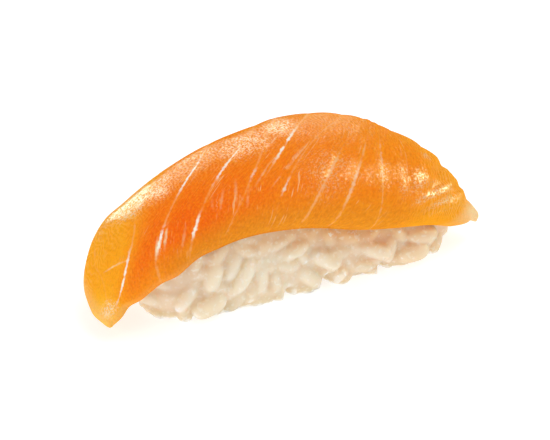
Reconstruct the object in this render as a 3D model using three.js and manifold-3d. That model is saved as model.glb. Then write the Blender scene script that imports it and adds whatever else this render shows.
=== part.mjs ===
// Salmon nigiri: a slice of raw salmon draped over a hand-pressed block of sushi rice.
// Millimetres. +X runs along the piece, +Y towards its far side, +Z up. The origin is the middle
// of the bounding box's base, on the surface that the rice stands on.

import * as THREE from "three";
import { mergeVertices } from "three/addons/utils/BufferGeometryUtils.js";
import Module from "manifold-3d";

const wasm = await Module();
wasm.setup();

// ---------------------------------------------------------------- The slice's dimensions

// Cross-sections of the slice, evenly spaced from its left end to its right end.
// x, y, z: a point on the middle line of its underside. thick: its thickness there.
// front, back: how far each flank wraps down over the rice, in degrees of arc.
const STATIONS = [
  { x: -41.5, y: -1.0, z: 4.7, thick: 3.2, front: 62, back: 70 },
  { x: -32.6, y: -0.6, z: 14.9, thick: 4.4, front: 61, back: 72 },
  { x: -17.8, y: -0.2, z: 21.9, thick: 5.4, front: 63, back: 74 },
  { x: -1.8, y: 0.2, z: 23.7, thick: 7.0, front: 72, back: 74 },
  { x: 13.7, y: 0.4, z: 21.7, thick: 7.6, front: 82, back: 74 },
  { x: 29.1, y: 0.5, z: 15.8, thick: 5.9, front: 83, back: 72 },
  { x: 41.9, y: 0.7, z: 5.5, thick: 4.1, front: 83, back: 70 },
];
const ARCH_HALF_WIDTH = 11.6; // the arch that the slice hangs over, half-way along
const ARCH_HEIGHT = 11.8;
const END_WIDTH = 0.9; // the arch's width and height at both ends, as shares of those half-way
const END_HEIGHT = 0.4;
const EDGE_THICKNESS = 0.15; // thickness at the cut edges, as a share of the full thickness

// The two ends. slant: how far the front corner lies beyond the middle of the end.
// round: how far the corners draw back along the slice. narrow: how far they draw in across it.
const LEFT_END = { slant: 5.6, round: 0.06, narrow: 0.21 };
const RIGHT_END = { slant: 1.7, round: 0.17, narrow: 0.13 };

// A small lip that flares out of the right end. across: where it is, from -1 to 1.
const LIP = { reach: 1.3, across: -0.5, width: 0.16 };

// The lines of white fat, as places along the slice from -1 to 1, measured half-way down its
// front flank. The flesh swells a little between one line and the next.
const FAT_LINES_LEFT = [-0.86, -0.71, -0.55, -0.39, -0.26, -0.15, -0.04];
const FAT_LINES_RIGHT = [0.12, 0.25, 0.36, 0.48, 0.61, 0.75, 0.89];
const FLAKE_SWELL = 0.3; // how far the middle of a flake stands proud of the lines beside it
const LEFT_LEAN = 0.5; // how far a line leans along the slice from front edge to middle, at the left
const RIGHT_LEAN = -0.25; // the same at the right end, where the lines lean the other way
const COLUMNS_PER_FLAKE = 3; // facets along a flake
const ROWS_ACROSS = 16; // facets across the slice

// ---------------------------------------------------------------- The rice's dimensions

const RICE_HALF_LENGTH = 34.9; // the block, to the outside of its grains
const RICE_HALF_WIDTH = 10.9;
const RICE_MIDDLE = new THREE.Vector2(2.8, -0.2); // in X and Y
const WAIST_HEIGHT = 6.4; // where the block is widest
const CROWN_HEIGHT = 32; // where its sides would meet, were the slice not there
const FOOT_DEPTH = 4; // how far below the board its sides would meet
const PLAN_POWER = 3.2; // superellipse powers of the plan and of the sides
const SIDE_POWER = 3;
const CORE_INSET = 1.7; // the bare core lies this far inside the grains' outside
const CORE_TOP = 24.5; // above the highest point that the slice leaves room for
const CORE_SIDES = 32;
const CORE_LEVELS = 6;

const GRAIN_LENGTH = 6.9; // a cooked short grain
const GRAIN_WIDTH = 3.2;
const GRAIN_SIDES = 5;
const GRAIN_ROWS = [1.5, 4.4, 7.3, 10.2, 13.1, 16.0]; // heights of the rows of grains round the block
const GRAIN_SPACING = 5.2; // from one grain to the next along a row
const GRAIN_SINK = 0.6; // how far a grain's middle may lie in or out of the core's surface
const GRAIN_TILT = 0.25; // how steeply a grain may stick out of the block
const GRAIN_TRIES = 5; // at laying each grain clear of the slice
const GRAIN_DROP = 0.5; // how much lower each new try lies
const GRAIN_SHRINK = 0.1; // how much smaller each new try is
const CLEAR_OF_SHOWN = 2.8; // the least distance from a shown grain to any other
const SEED = 20;

// The grains that lie outermost on the front side. x, z: the middle. lean: the turn from
// level, in degrees. proud: how far the middle stands out of the core.
const SHOWN_GRAINS = [
  { x: -30.4, z: 4.6, length: 7.6, width: 3.6, lean: -24, proud: 0.2 },
  { x: -28.9, z: 8.3, length: 6.6, width: 3.2, lean: -28, proud: 0.1 },
  { x: -25.2, z: 4.9, length: 6.6, width: 3.0, lean: 52, proud: 0.7 },
  { x: -21.0, z: 2.6, length: 7.3, width: 3.7, lean: 20, proud: 0.6 },
  { x: -20.1, z: 8.9, length: 6.6, width: 3.8, lean: 77, proud: 0.8 },
  { x: -13.7, z: 7.5, length: 8.0, width: 3.1, lean: 60, proud: 0.8 },
  { x: -10.1, z: 6.2, length: 7.6, width: 2.9, lean: 88, proud: 0.4 },
  { x: -10.2, z: 12.2, length: 5.8, width: 2.8, lean: 58, proud: 0.0 },
  { x: -6.9, z: 4.4, length: 6.4, width: 2.7, lean: 95, proud: 0.1 },
  { x: -6.2, z: 12.6, length: 6.2, width: 2.8, lean: 19, proud: 0.0 },
  { x: -2.9, z: 10.4, length: 6.2, width: 3.0, lean: 20, proud: 0.7 },
  { x: 0.6, z: 3.4, length: 6.9, width: 3.5, lean: -43, proud: 0.3 },
  { x: 4.0, z: 6.8, length: 7.4, width: 3.7, lean: -33, proud: 1.0 },
  { x: 12.2, z: 2.6, length: 7.4, width: 3.2, lean: -12, proud: 0.2 },
  { x: 15.6, z: 5.8, length: 7.6, width: 3.5, lean: -26, proud: 1.0 },
  { x: 24.6, z: 2.7, length: 7.6, width: 4.0, lean: 4, proud: 0.3 },
  { x: 26.8, z: 6.2, length: 7.8, width: 4.0, lean: -11, proud: 0.4 },
];

const TOUCH_GAP = 0.3; // between the slice and the rice under it

const SALMON_FINISH = { color: 0xf28a1e, roughness: 0.3, metalness: 0 };
const RICE_FINISH = { color: 0xf2e6cf, roughness: 0.4, metalness: 0 };

// ---------------------------------------------------------------- Helpers

const { clamp, degToRad, lerp, smoothstep } = THREE.MathUtils;
const UP = new THREE.Vector3(0, 0, 1);

// A repeatable stream of numbers from 0 to 1.
function randomStream(seed) {
  let state = seed;
  return () => {
    state = (state * 1664525 + 1013904223) % 4294967296;
    return state / 4294967296;
  };
}

function solidOf(geometry) {
  const bare = geometry.clone();
  bare.deleteAttribute("normal");
  bare.deleteAttribute("uv");
  const merged = mergeVertices(bare, 1e-4);
  const vertProperties = new Float32Array(merged.attributes.position.array);
  const triVerts = new Uint32Array(merged.index.array);
  return new wasm.Manifold(new wasm.Mesh({ numProp: 3, vertProperties, triVerts }));
}

function geometryOf(solid) {
  const { vertProperties, triVerts } = solid.getMesh();
  const geometry = new THREE.BufferGeometry();
  geometry.setAttribute("position", new THREE.BufferAttribute(vertProperties, 3));
  geometry.setIndex(new THREE.BufferAttribute(triVerts, 1));
  geometry.computeVertexNormals();
  return geometry;
}

// Moves each vertex of a geometry to where place(vertex) puts it.
function reshape(geometry, place) {
  const position = geometry.attributes.position;
  const vertex = new THREE.Vector3();
  for (let i = 0; i < position.count; i++) {
    place(vertex.fromBufferAttribute(position, i));
    position.setXYZ(i, vertex.x, vertex.y, vertex.z);
  }
  return geometry;
}

// A smooth curve through one value per station.
function throughStations(pick) {
  return new THREE.CatmullRomCurve3(STATIONS.map(pick), false, "catmullrom");
}

// ---------------------------------------------------------------- The slice

const spine = throughStations(({ x, y, z }) => new THREE.Vector3(x, y, z));
const sections = throughStations(({ thick, front, back }) => new THREE.Vector3(thick, front, back));
const halfSpine = spine.getLength() / 2;

// The point of a curve at a place from -1 to 1 along it.
const pointAlong = (curve, place) => curve.getPoint(clamp((place + 1) / 2, 0, 1));

// A point of the slice's underside. a runs from -1 to 1 along it, and b across it from its front
// edge. An arch is carried along the spine, and both ends run on straight beyond it.
function underside(a, b) {
  const end = a < 0 ? LEFT_END : RIGHT_END;
  const across = b * (1 - end.narrow * a ** 4);
  const slant = -Math.sign(a) * end.slant * across * a ** 2;
  const lip = LIP.reach * smoothstep(a, 0.85, 1) * Math.exp(-(((b - LIP.across) / LIP.width) ** 2));
  const place = a * (1 - end.round * b ** 4) + (slant + lip) / halfSpine;
  const inside = clamp(place, -1, 1);
  const before = Math.max(inside - 1e-3, -1);
  const after = Math.min(inside + 1e-3, 1);
  const slope = pointAlong(spine, after).sub(pointAlong(spine, before)).divideScalar(after - before);
  slope.y = 0;
  const point = pointAlong(spine, inside).addScaledVector(slope, place - inside);
  const down = new THREE.Vector3(slope.z, 0, -slope.x).normalize();
  const { y: front, z: back } = pointAlong(sections, inside);
  const wrap = degToRad(across < 0 ? front : back) * across;
  const taper = Math.abs(inside) ** 3;
  point.y += ARCH_HALF_WIDTH * lerp(1, END_WIDTH, taper) * Math.sin(wrap);
  return point.addScaledVector(down, ARCH_HEIGHT * lerp(1, END_HEIGHT, taper) * (1 - Math.cos(wrap)));
}

// The outward direction at a point of the slice's underside.
function outward(a, b) {
  const step = 1e-3;
  const lengthwise = underside(a + step, b).sub(underside(a - step, b));
  const crosswise = underside(a, b + step).sub(underside(a, b - step));
  return lengthwise.cross(crosswise).normalize();
}

// Where the fat line that crosses the front flank at a place lies, at b across the slice.
function followLine(place, b) {
  const lean = lerp(LEFT_LEAN, RIGHT_LEAN, smoothstep(place, -0.1, 0.9));
  const reach = Math.min(b, 0) + 0.5 + 0.1 * Math.max(b, 0);
  return place + lean * reach * (1 - place ** 2);
}

// The depth of flesh over the underside, thin at every edge.
function thickness(a, b) {
  const round = Math.sqrt(1 - a ** 6) * Math.sqrt(1 - b ** 4);
  return pointAlong(sections, a).x * lerp(EDGE_THICKNESS, 1, round);
}

// A grid whose columns follow the fat lines, laid on the slice's underside and on its top.
function buildSlice() {
  const bounds = [-1, ...FAT_LINES_LEFT, ...FAT_LINES_RIGHT, 1];
  const flakes = bounds.length - 1;
  const columns = flakes * COLUMNS_PER_FLAKE;
  const grid = new THREE.BoxGeometry(columns, ROWS_ACROSS, 2, columns, ROWS_ACROSS, 1);
  return reshape(grid, (vertex) => {
    const column = Math.round(vertex.x + columns / 2);
    const flake = Math.min(Math.floor(column / COLUMNS_PER_FLAKE), flakes - 1);
    const part = column / COLUMNS_PER_FLAKE - flake;
    const b = Math.sin((Math.PI / ROWS_ACROSS) * vertex.y);
    const a = followLine(lerp(bounds[flake], bounds[flake + 1], part), b);
    const swell = FLAKE_SWELL * 4 * part * (1 - part) * (1 - b ** 4);
    const rise = vertex.z > 0 ? thickness(a, b) + swell : 0;
    vertex.copy(underside(a, b)).addScaledVector(outward(a, b), rise);
  });
}

// The room that the rice keeps out of: from a gap under the slice to far above it.
function roomOfSlice(gap, height) {
  const grid = new THREE.BoxGeometry(2, 2, 2, 30, 14, 1);
  return reshape(grid, (vertex) => {
    const { x: a, y: b, z: side } = vertex;
    vertex.copy(underside(a, b)).addScaledVector(outward(a, b), side > 0 ? height : -gap);
  });
}

// ---------------------------------------------------------------- The rice

const signedPower = (value, power) => Math.sign(value) * Math.abs(value) ** power;

// The width of the block at a height, as a share of its width at the waist.
function shareAt(z) {
  const reach = z > WAIST_HEIGHT ? CROWN_HEIGHT - WAIST_HEIGHT : WAIST_HEIGHT + FOOT_DEPTH;
  return (1 - (Math.abs(z - WAIST_HEIGHT) / reach) ** SIDE_POWER) ** (1 / SIDE_POWER);
}

// The core's outline at one height, as a closed curve.
class CoreOutline extends THREE.Curve {
  constructor(z) {
    super();
    this.z = z;
    this.halfLength = RICE_HALF_LENGTH * shareAt(z) - CORE_INSET;
    this.halfWidth = RICE_HALF_WIDTH * shareAt(z) - CORE_INSET;
  }

  getPoint(t, target = new THREE.Vector3()) {
    const angle = 2 * Math.PI * t;
    return target.set(
      RICE_MIDDLE.x + this.halfLength * signedPower(Math.cos(angle), 2 / PLAN_POWER),
      RICE_MIDDLE.y + this.halfWidth * signedPower(Math.sin(angle), 2 / PLAN_POWER),
      this.z,
    );
  }
}

function buildCore() {
  const drum = new THREE.CylinderGeometry(1, 1, CORE_TOP, CORE_SIDES, CORE_LEVELS);
  drum.rotateX(Math.PI / 2).translate(0, 0, CORE_TOP / 2);
  return reshape(drum, (vertex) => {
    const z = Math.max(vertex.z, 0);
    const onAxis = Math.hypot(vertex.x, vertex.y) < 0.5;
    if (onAxis) vertex.set(RICE_MIDDLE.x, RICE_MIDDLE.y, z);
    else new CoreOutline(z).getPoint(Math.atan2(vertex.y, vertex.x) / (2 * Math.PI), vertex);
  });
}

// One grain along Z, plumper towards one end.
function buildGrain() {
  const half = GRAIN_LENGTH / 2;
  const radius = GRAIN_WIDTH / 2;
  const profile = [
    new THREE.Vector2(0, -half),
    new THREE.Vector2(0.72 * radius, -0.68 * half),
    new THREE.Vector2(radius, -0.05 * half),
    new THREE.Vector2(0.78 * radius, 0.62 * half),
    new THREE.Vector2(0, half),
  ];
  return new THREE.LatheGeometry(profile, GRAIN_SIDES).rotateX(Math.PI / 2);
}

// A grain with its middle at a point, pointing along axis. size: its shares of the usual
// width, depth and length.
function poseGrain(point, axis, size) {
  const rotation = new THREE.Quaternion().setFromUnitVectors(UP, axis);
  const matrix = new THREE.Matrix4().compose(point, rotation, size);
  return solidOf(buildGrain().applyMatrix4(matrix));
}

function poseShownGrain({ x, z, length, width, lean, proud }) {
  const { halfLength, halfWidth } = new CoreOutline(z);
  const along = Math.abs((x - RICE_MIDDLE.x) / halfLength);
  const front = RICE_MIDDLE.y - halfWidth * Math.max(1 - along ** PLAN_POWER, 0) ** (1 / PLAN_POWER);
  const axis = new THREE.Vector3(Math.cos(degToRad(lean)), 0, Math.sin(degToRad(lean)));
  const share = width / GRAIN_WIDTH;
  const size = new THREE.Vector3(share, share, length / GRAIN_LENGTH);
  return poseGrain(new THREE.Vector3(x, front - proud, z), axis, size);
}

// One try at the grain at a place along an outline: its middle, its axis and its size.
function drawGrain(outline, place, attempt, between) {
  const tangent = outline.getTangentAt(place % 1);
  const out = new THREE.Vector3(tangent.y, -tangent.x, 0);
  const turn = between(0, Math.PI);
  const point = outline.getPointAt(place % 1).addScaledVector(out, between(-GRAIN_SINK, GRAIN_SINK));
  point.z -= attempt * GRAIN_DROP;
  const axis = tangent.multiplyScalar(Math.cos(turn)).addScaledVector(UP, Math.sin(turn));
  axis.addScaledVector(out, between(-GRAIN_TILT, GRAIN_TILT)).normalize();
  const size = new THREE.Vector3(1, between(0.8, 1), between(0.88, 1.08));
  return { point, axis, size: size.multiplyScalar(1 - attempt * GRAIN_SHRINK) };
}

// Whether a point lies on the far side, or clear of the shown grains on the front side.
function isClearOfShown({ x, y, z }) {
  const isClear = (shown) => Math.hypot(x - shown.x, z - shown.z) > CLEAR_OF_SHOWN;
  return y > 0 || SHOWN_GRAINS.every(isClear);
}

// The grains of one row, evenly spread and unevenly laid. Where a grain would cross the slice, it
// is laid again a little lower and smaller, and after its last try it is left out.
function layRow(height, row, random, room) {
  const between = (low, high) => lerp(low, high, random());
  const outline = new CoreOutline(height);
  const count = Math.round(outline.getLength() / GRAIN_SPACING);
  const laid = [];
  for (let i = 0; i < count; i++) {
    const tries = Array.from({ length: GRAIN_TRIES }, (_, attempt) => {
      const place = (i + 0.5 * (row % 2) + between(0, 0.5)) / count;
      return drawGrain(outline, place, attempt, between);
    });
    const grains = tries
      .filter(({ point }) => isClearOfShown(point))
      .map(({ point, axis, size }) => poseGrain(point, axis, size));
    const free = grains.find((grain) => grain.intersect(room).isEmpty());
    if (free) laid.push(free);
  }
  return laid;
}

// Core and grains as one body, level underneath and clear of the slice. Only its outer surface is
// kept, so hollows sealed between grains are filled and loose scraps dropped.
function buildRice() {
  const room = solidOf(roomOfSlice(TOUCH_GAP, 30));
  const board = solidOf(new THREE.BoxGeometry(200, 100, 20).translate(0, 0, -10));
  const random = randomStream(SEED);
  const grains = GRAIN_ROWS.flatMap((height, row) => layRow(height, row, random, room));
  const pieces = [solidOf(buildCore()), ...SHOWN_GRAINS.map(poseShownGrain), ...grains];
  const whole = wasm.Manifold.union(pieces).subtract(room).subtract(board);
  const bodies = whole.decompose().sort((one, other) => other.volume() - one.volume());
  return geometryOf(bodies[0]);
}

// ---------------------------------------------------------------- The piece

function namedMesh(name, geometry, finish) {
  const mesh = new THREE.Mesh(geometry, new THREE.MeshStandardMaterial(finish));
  mesh.name = name;
  return mesh;
}

const nigiri = new THREE.Group();
nigiri.add(namedMesh("rice", buildRice(), RICE_FINISH));
nigiri.add(namedMesh("salmon_slice", buildSlice(), SALMON_FINISH));

export default nigiri;
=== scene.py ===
"""Looks of a salmon nigiri: a draped slice of raw salmon on a hand-pressed block of sushi rice.

Forms are worked out in millimetres and finished in metres. +X runs along the piece, +Y towards
its far side and +Z up, with the origin under the middle, on the surface that the rice stands on.
A place on the slice is a pair, a along it and b across it, both from -1 to 1, with the front edge
at b = -1. Colours are linear.
"""
import logging
import math
from collections.abc import Iterable
from dataclasses import dataclass
from enum import Enum
from functools import cache, cached_property, reduce

import bmesh
import bpy
import numpy as np
from mathutils import Matrix, Vector, noise
from mathutils.bvhtree import BVHTree
from mathutils.kdtree import KDTree


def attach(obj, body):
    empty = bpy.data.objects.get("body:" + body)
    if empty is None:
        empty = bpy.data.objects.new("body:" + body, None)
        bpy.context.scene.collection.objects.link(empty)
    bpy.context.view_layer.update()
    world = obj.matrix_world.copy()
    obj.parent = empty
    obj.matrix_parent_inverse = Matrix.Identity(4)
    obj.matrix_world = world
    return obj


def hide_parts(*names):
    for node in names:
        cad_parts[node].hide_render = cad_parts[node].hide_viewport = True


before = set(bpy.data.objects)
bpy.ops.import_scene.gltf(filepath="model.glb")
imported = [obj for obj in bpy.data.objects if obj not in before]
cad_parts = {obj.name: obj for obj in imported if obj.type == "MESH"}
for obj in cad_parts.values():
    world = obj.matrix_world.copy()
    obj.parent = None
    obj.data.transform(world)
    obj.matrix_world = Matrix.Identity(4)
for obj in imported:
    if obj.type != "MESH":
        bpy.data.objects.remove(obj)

LOG = logging.getLogger("nigiri")
MM = 0.001
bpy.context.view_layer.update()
Colour = tuple[float, float, float]
Pair = tuple[float, float]
Key = int | str
Field = np.ndarray


# ---- Shader arithmetic


class Wire:
    """A shader socket that takes part in Python arithmetic."""

    def __init__(self, shader: "Shader", socket: bpy.types.NodeSocket) -> None:
        """Holds an output socket of a material."""
        self.shader = shader
        self.socket = socket

    def _math(self, operation: str, left: "Wire | float", right: "Wire | float") -> "Wire":
        """Adds one Math node."""
        return self.shader.node("ShaderNodeMath", {"operation": operation}, {0: left, 1: right})

    def __add__(self, other: "Wire | float") -> "Wire":
        """Adds a value."""
        return self._math("ADD", self, other)

    __radd__ = __add__

    def __sub__(self, other: "Wire | float") -> "Wire":
        """Takes a value away."""
        return self._math("SUBTRACT", self, other)

    def __rsub__(self, other: "Wire | float") -> "Wire":
        """Takes this away from a value."""
        return self._math("SUBTRACT", other, self)

    def __mul__(self, other: "Wire | float") -> "Wire":
        """Multiplies by a value."""
        return self._math("MULTIPLY", self, other)

    __rmul__ = __mul__

    def from_whole(self) -> "Wire":
        """Gives the distance to the nearest whole number."""
        return self._math("PINGPONG", self, 0.5)

    def size(self) -> "Wire":
        """Gives the value without its sign."""
        return self._math("ABSOLUTE", self, 0.0)

    def clamp(self) -> "Wire":
        """Limits the value to 0..1."""
        return self.shader.node("ShaderNodeClamp", {}, {0: self})

    def above(self, low: float, high: float) -> "Wire":
        """Rises smoothly from 0 at low to 1 at high."""
        inputs = {"Value": self, "From Min": low, "From Max": high}
        return self.shader.node("ShaderNodeMapRange", {"interpolation_type": "SMOOTHSTEP"}, inputs)

    def below(self, low: float, high: float) -> "Wire":
        """Falls smoothly from 1 at low to 0 at high."""
        return 1.0 - self.above(low, high)


@dataclass(frozen=True)
class Pattern:
    """Smooth noise from 0 to 1: lumps for each unit of the coordinates, octaves and roughness."""

    scale: float
    detail: float
    rough: float = 0.5


class Shader:
    """A material whose nodes are all made by one method."""

    blend = {"data_type": "RGBA", "clamp_factor": True}

    def __init__(self, name: str) -> None:
        """Starts an empty material.

        Args:
            name: its name.
        """
        self.material = bpy.data.materials.new(name)
        self.material.use_nodes = True
        self.tree = self.material.node_tree
        self.tree.nodes.clear()

    def node(self, kind: str, settings: dict[str, object], inputs: dict[Key, object], out: Key = 0) -> Wire:
        """Makes a node, sets it up and connects it.

        Args:
            kind: the node's type.
            settings: its properties, set first.
            inputs: the values or wires of its sockets.
            out: the output that is returned.

        Returns:
            The chosen output.
        """
        made = self.tree.nodes.new(kind)
        for key, value in settings.items():
            setattr(made, key, value)
        for key, value in inputs.items():
            if isinstance(value, Wire):
                self.tree.links.new(value.socket, made.inputs[key])
            else:
                made.inputs[key].default_value = value
        return Wire(self, made.outputs[out])

    @cache
    def __getitem__(self, name: str) -> Wire:
        """Reads one of the piece's own number layers."""
        return self.node("ShaderNodeAttribute", {"attribute_name": name}, {}, "Fac")

    @cache
    def place(self) -> Wire:
        """Reads the Object coordinates, in metres."""
        return self.node("ShaderNodeTexCoord", {}, {}, "Object")

    @cache
    def fibres(self, stretch: Colour) -> Wire:
        """Reads the piece's UV map times a stretch: noise is drawn out where that is small."""
        flat = self.node("ShaderNodeTexCoord", {}, {}, "UV")
        return self.node("ShaderNodeVectorMath", {"operation": "MULTIPLY"}, {0: flat, 1: stretch})

    @cache
    def noise(self, at: Wire, pattern: Pattern) -> Wire:
        """Reads a pattern at coordinates, through the same node each time."""
        inputs = {"Vector": at, "Scale": pattern.scale, "Detail": pattern.detail, "Roughness": pattern.rough}
        return self.node("ShaderNodeTexNoise", {}, inputs)

    def mix(self, share: "Wire | float", first: "Wire | Colour", second: "Wire | Colour") -> Wire:
        """Blends two colours: a share of 0 gives the first one, and 1 the second."""
        ends = [c if isinstance(c, Wire) else (*c, 1.0) for c in (first, second)]
        return self.node("ShaderNodeMix", self.blend, {0: share, 6: ends[0], 7: ends[1]}, 2)

    def layered(self, base: Wire, *layers: tuple[Wire, Colour]) -> Wire:
        """Lays colours over a base one after another, each with how much of it shows."""
        return reduce(lambda under, layer: self.mix(layer[0], under, layer[1]), layers, base)

    def bumps(self, *layers: tuple[Wire, float]) -> Wire:
        """Turns heights from 0 to 1 into a normal.

        Args:
            layers: each height, and what a height of 1 stands for, in metres.

        Returns:
            The normal.
        """
        normal = {}
        for height, depth in layers:
            inputs = {"Height": height, "Strength": 1.0, "Distance": depth, **normal}
            normal = {"Normal": self.node("ShaderNodeBump", {}, inputs)}
        return normal["Normal"]

    def finish(self, sockets: dict[str, object]) -> bpy.types.Material:
        """Ends the material in a Principled shader.

        Args:
            sockets: the values and wires of the shader.

        Returns:
            The material.
        """
        surface = self.node("ShaderNodeBsdfPrincipled", {}, sockets)
        end = self.tree.nodes.new("ShaderNodeOutputMaterial")
        self.tree.links.new(surface.socket, end.inputs["Surface"])
        return self.material


@dataclass(frozen=True)
class SalmonFinish:
    """Moist raw salmon: orange flesh, white fat and a wet gloss."""

    red: Colour = (0.92, 0.133, 0.007)
    orange: Colour = (0.94, 0.210, 0.012)
    amber: Colour = (0.99, 0.385, 0.016)
    fat: Colour = (0.97, 0.48, 0.22)
    pale: Colour = (1.0, 0.66, 0.34)
    # Pale colour of the painted sheen specks that stand in for glare on the wet film; the pale fat strokes
    # use it too.
    pale_fat_and_painted_sheen: Colour = (0.98, 0.71, 0.42)
    bright: Colour = (1.0, 0.40, 0.026)
    dark: Colour = (0.50, 0.11, 0.008)
    # Darker tone of the lower front band: painted shade.
    honey: Colour = (0.74, 0.26, 0.020)
    # Pale colour of the thin edges: painted light shining through the flesh.
    thin: Colour = (0.92, 0.68, 0.37)
    gold: Colour = (0.98, 0.53, 0.03)
    # Colour of the painted glints on wet stretches of the fat lines.
    glint: Colour = (1.0, 0.90, 0.80)
    shade: Colour = (0.60, 0.21, 0.018)
    clouds: Pattern = Pattern(130.0, 3.0)
    strands: Pattern = Pattern(1900.0, 2.0, 0.6)
    breaks: Pattern = Pattern(260.0, 2.0)
    grit: Pattern = Pattern(2300.0, 1.0)
    waves: Pattern = Pattern(330.0, 1.0)
    wave_reach: float = 4.5
    ragged: Pattern = Pattern(1300.0, 2.0)
    dimples: Pattern = Pattern(1500.0, 0.5)
    patches: Pattern = Pattern(420.0, 2.0)
    flecks: Pattern = Pattern(2300.0, 0.5)
    specks: Pattern = Pattern(3100.0, 0.5)
    strand_specks: Pattern = Pattern(2700.0, 0.5)
    muscle: Pattern = Pattern(2200.0, 0.5)
    swells: Pattern = Pattern(500.0, 1.0)
    scatter: float = 0.25
    scatter_depth: float = 0.0015
    scatter_tint: Colour = (1.0, 0.30, 0.06)
    roughness: float = 0.45
    wet: float = 0.008
    wet_roughness: float = 0.08
    stipple: float = 0.00016

    def wave(self, shader: Shader) -> Wire:
        """Gives the distance from wavy contour lines that ring a point near the right end."""
        reach = shader.noise(shader.place(), self.waves) * self.wave_reach
        return (reach + shader["arc"]).from_whole()

    def crest(self, shader: Shader) -> Wire:
        """Tells where those contour lines run."""
        return self.wave(shader).below(0.05, 0.24)

    def flesh(self, shader: Shader) -> Wire:
        """Colours the flesh without its fat.

        Args:
            shader: the material.

        Returns:
            The colour.
        """
        at = shader.place()
        red, ripple = shader["red"], shader["ripple"]
        cloud = shader.noise(at, self.clouds) - 0.5
        grit = shader.noise(shader.fibres((1.0, 0.55, 1.0)), self.grit)
        strand = shader.noise(shader.fibres((1.0, 0.10, 1.0)), self.strands).above(0.59, 0.70)
        streak = strand * shader.noise(at, self.breaks).above(0.46, 0.58) * shader["fibre"]
        crest = self.crest(shader) * ripple
        return shader.layered(
            shader.mix((red + cloud * 0.7).clamp(), self.orange, self.red),
            ((shader["amber"] + cloud * 0.35).clamp(), self.amber),
            # Painted shade: the lower front band darkened towards honey.
            (shader["low_front"] * 0.75, self.honey),
            (grit.above(0.48, 0.70) * (0.32 - red * 0.16), self.bright),
            (grit.below(0.30, 0.50) * 0.18, self.dark),
            # Light contour lines with darker sides, mostly at the right end, on the upper flank and in the
            # wet film: partly the flesh's grain, partly painted glints and shade along ripples.
            (crest * 0.5, self.bright),
            (crest * ripple * 0.18, self.pale),
            (self.wave(shader).above(0.28, 0.48) * ripple * 0.18, self.dark),
            (shader["gold"], self.gold),
            # Painted light shining through the thin edges, and a painted pale sheen along the left
            # shoulder's top.
            (shader["lip"] * 0.9, self.thin),
            (streak * 0.65, self.pale),
        )

    def material(self) -> bpy.types.Material:
        """Lays fat, painted sheen specks, painted glints on the fat and a wet film over the flesh.

        Returns:
            The material.
        """
        shader = Shader("raw_salmon")
        at = shader.place()
        film, pale_fat_and_painted_sheen = shader["film"], shader["pale_fat_and_painted_sheen"]
        share = shader["fat_share"]
        ragged = shader.noise(at, self.ragged) - 0.5
        patches = shader.noise(at, self.patches)
        dimples = shader.noise(at, self.dimples)
        flecks = shader.noise(at, self.flecks)
        gap = shader["flake"].from_whole() * shader["flake_span"]
        line = gap * (1.6 - share) + ragged * 0.40
        stroke = (shader["stroke_gap"].size() + ragged * 0.3).below(0.02, 0.24)
        strand_specks = shader.noise(shader.fibres((0.6, 1.0, 1.0)), self.strand_specks)
        specks = shader.noise(at, self.specks) * 0.6 + strand_specks * 0.4
        speck = (specks + film * 0.11).above(0.55, 0.66)
        shine = (line + (dimples - 0.5) * 0.5).below(0.02, 0.30) * patches.above(0.28, 0.42)
        colour = shader.layered(
            self.flesh(shader),
            (line.below(0.02, 0.26) * patches.above(0.30, 0.55) * share, self.fat),
            (gap.below(0.0, 1.1) * 0.30 * share, self.amber),
            # Pale fat strokes, in the colour of the painted sheen specks.
            (stroke * patches.above(0.30, 0.50) * shader["stroke_share"], self.pale_fat_and_painted_sheen),
            (flecks.above(0.5, 0.75) * 0.20, self.amber),
            # Painted sheen: pale specks in the base colour where the wet film is thick, at the left tip and
            # at the lip.
            (speck * (pale_fat_and_painted_sheen * 0.75 + 0.03) + pale_fat_and_painted_sheen * 0.10, self.pale_fat_and_painted_sheen),
            (flecks.below(0.32, 0.50) * (film * 0.12 + 0.12), self.shade),
            # Painted glints: near-white colour on the wet stretches of the fat lines.
            (shine * shader["fat_shine"], self.glint),
        )
        sparkle = (speck * (self.crest(shader) * 0.5 + 0.7)).clamp()
        return shader.finish({
            "Base Color": colour,
            "Roughness": (dimples - 0.5) * 0.2 + self.roughness,
            "Normal": shader.bumps(
                (dimples, self.stipple),
                (shader.noise(shader.fibres((1.0, 0.25, 1.0)), self.muscle), self.stipple * 0.5),
                (shader.noise(at, self.swells), self.stipple * 1.5),
            ),
            "Subsurface Weight": self.scatter,
            "Subsurface Scale": self.scatter_depth,
            "Subsurface Radius": self.scatter_tint,
            "Specular IOR Level": 0.0,
            "Coat Weight": (film * 0.85 + 0.04) * sparkle + film * 0.06 + self.wet,
            "Coat Roughness": self.wet_roughness,
        })


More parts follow.
